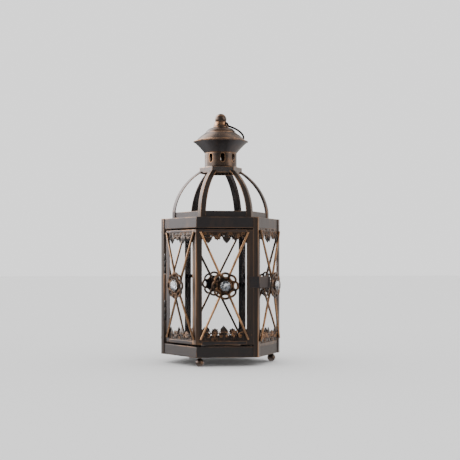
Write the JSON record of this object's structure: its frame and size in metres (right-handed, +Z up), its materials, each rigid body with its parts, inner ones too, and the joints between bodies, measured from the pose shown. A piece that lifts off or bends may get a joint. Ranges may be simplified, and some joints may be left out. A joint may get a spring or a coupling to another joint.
{
  "type": "candle lantern",
  "caption": "Six-sided metal candle lantern with glass panes, a two-panel hinged door, open ribbed dome, vented chimney, lid, ball finial and a folding hanging ring.",
  "frame": {"origin": "middle of the footprint at table level, under the ball feet and on the lantern's own upright axis", "axes": "+Z up along the lantern's axis, -Y out of the door's front panel, +X to the right of that panel"},
  "size_m": [0.1278, 0.1323, 0.265],
  "materials": {
    "antique_bronze": "satin dark bronze paint, rubbed through to copper along the edges",
    "worn_bronze": "satin brown bronze paint, rubbed to copper on rims and raised places",
    "copper_rods": "antique copper finish over wire and stamped sheet, dark in the hollows",
    "pressed_lace": "pressed and pierced sheet, dark bronze with copper-rubbed high spots",
    "window_glass": "clear glass with a faint grey tint",
    "cut_glass": "clear faceted glass, bright",
    "black_wire": "satin black steel wire"
  },
  "bodies": {
    "lantern_frame": {"base_band": "antique_bronze", "candle_cup": "worn_bronze", "chimney": "worn_bronze", "collar": "antique_bronze", "cross_rods": "copper_rods", "dome_band": "antique_bronze", "finial": "worn_bronze", "finial_nut": "worn_bronze", "floor_plate": "antique_bronze", "foot_back_left": "worn_bronze", "foot_front_left": "worn_bronze", "foot_right": "worn_bronze", "glass_tabs": "antique_bronze", "hinge_pins": "black_wire", "hood": "antique_bronze", "lace_back": "pressed_lace", "lace_back_left": "pressed_lace", "lace_back_right": "pressed_lace", "lace_right": "pressed_lace", "lid": "worn_bronze", "pane_back": "window_glass", "pane_back_left": "window_glass", "pane_back_right": "window_glass", "pane_right": "window_glass", "post_back_left": "antique_bronze", "post_back_right": "antique_bronze", "post_front_right": "antique_bronze", "post_hinge_leaves": "antique_bronze", "post_left": "antique_bronze", "post_right": "antique_bronze", "rib_back_left": "antique_bronze", "rib_back_right": "antique_bronze", "rib_front_left": "antique_bronze", "rib_front_right": "antique_bronze", "rib_left": "antique_bronze", "rib_right": "antique_bronze", "rosette_back": "copper_rods", "rosette_back_left": "copper_rods", "rosette_back_right": "copper_rods", "rosette_right": "copper_rods", "shoulder_plate": "antique_bronze", "stones": "cut_glass", "upper_band": "antique_bronze"},
    "door": {"door_corner_post": "antique_bronze", "door_cross_rods_front": "copper_rods", "door_cross_rods_left": "copper_rods", "door_glass_tabs": "antique_bronze", "door_hinge_leaves": "antique_bronze", "door_hinge_stile": "antique_bronze", "door_lace_front": "pressed_lace", "door_lace_left": "pressed_lace", "door_latch_stile": "antique_bronze", "door_pane_front": "window_glass", "door_pane_left": "window_glass", "door_rails": "antique_bronze", "door_rosette_front": "copper_rods", "door_rosette_left": "copper_rods", "door_stones": "cut_glass", "latch_strip": "antique_bronze"},
    "ring": {"hanging_ring": "black_wire"}
  },
  "joints": [
    {"name": "door_hinge", "type": "hinge", "parent": "lantern_frame", "child": "door", "pos_m": [-0.05896, -0.00621, 0.08], "axis": [0, 0, -1], "range_deg": [0, 105]},
    {"name": "ring_swing", "type": "hinge", "parent": "lantern_frame", "child": "ring", "pos_m": [0, 0, 0.25438], "axis": [0.682, -0.7314, 0], "range_deg": [0, 244]}
  ]
}
